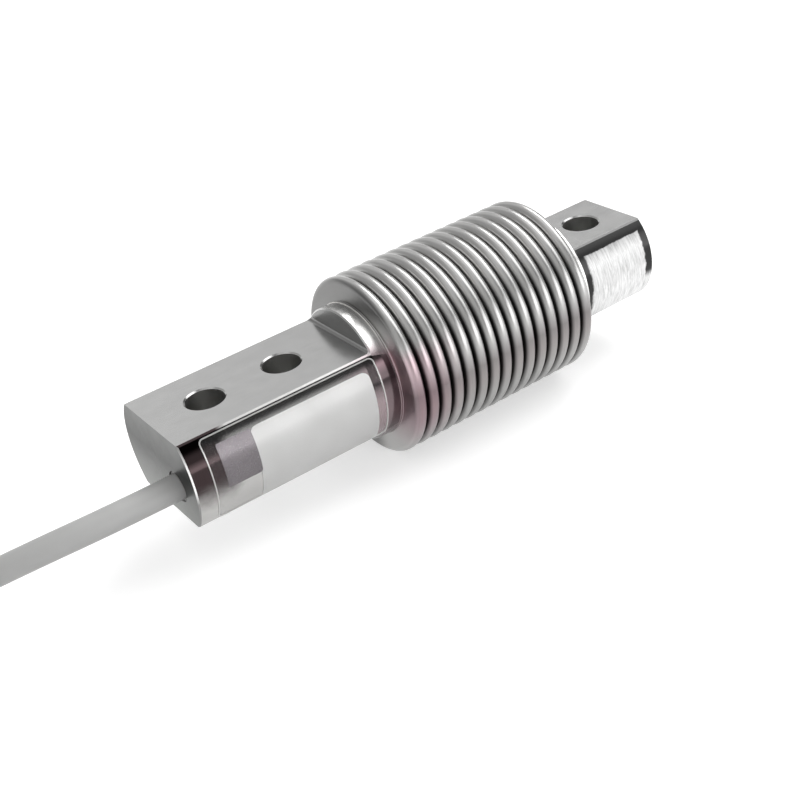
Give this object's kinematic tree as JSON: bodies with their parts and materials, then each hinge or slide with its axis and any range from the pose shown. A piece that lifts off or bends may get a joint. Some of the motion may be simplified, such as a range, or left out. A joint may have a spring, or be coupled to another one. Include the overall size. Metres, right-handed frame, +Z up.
{
  "type": "bending beam load cell",
  "caption": "Bending beam load cell: a steel bar with a bolted mounting block, a measuring beam sealed inside a metal bellows, a load end with a bolt hole and a grey cable.",
  "frame": {"origin": "on the bottom face of the mounting block, midway between its mounting holes", "axes": "+X along the bar to the load end, +Z up through the mounting holes"},
  "size_m": [0.2602, 0.0672, 0.0512],
  "materials": {
    "machined_steel": "fine turned and ground",
    "bellows_steel": "satin formed sheet",
    "cable_jacket": "smooth matt jacket",
    "seal_rubber": "matt",
    "potting_resin": "cast",
    "gauge_foil": "carrier film",
    "lead_insulation": "smooth",
    "board_laminate": "laminate",
    "resistor_body": "matt",
    "tie_nylon": "moulded",
    "tinned_tip": "tinned strands",
    "insulation_white": "smooth",
    "insulation_red": "smooth",
    "insulation_green": "smooth",
    "insulation_grey": "smooth",
    "insulation_black": "smooth",
    "insulation_blue": "smooth"
  },
  "bodies": {
    "root": {"balance_resistor": "resistor_body", "beam_body": "machined_steel", "bellows": "bellows_steel", "cable": "cable_jacket", "cable_coil": "cable_jacket", "cable_seal": "seal_rubber", "cable_tie": "tie_nylon", "core_black": "insulation_black", "core_blue": "insulation_blue", "core_green": "insulation_green", "core_grey": "insulation_grey", "core_red": "insulation_red", "core_white": "insulation_white", "gauge_bottom_fixed": "gauge_foil", "gauge_bottom_load": "gauge_foil", "gauge_top_fixed": "gauge_foil", "gauge_top_load": "gauge_foil", "lead_bottom_fixed": "lead_insulation", "lead_bottom_load": "lead_insulation", "lead_top_fixed": "lead_insulation", "lead_top_load": "lead_insulation", "potting": "potting_resin", "span_resistor": "resistor_body", "tail_black": "insulation_black", "tail_blue": "insulation_blue", "tail_green": "insulation_green", "tail_grey": "insulation_grey", "tail_red": "insulation_red", "tail_tips": "tinned_tip", "tail_white": "insulation_white", "temperature_resistor": "resistor_body", "terminal_board": "board_laminate"}
  },
  "joints": []
}
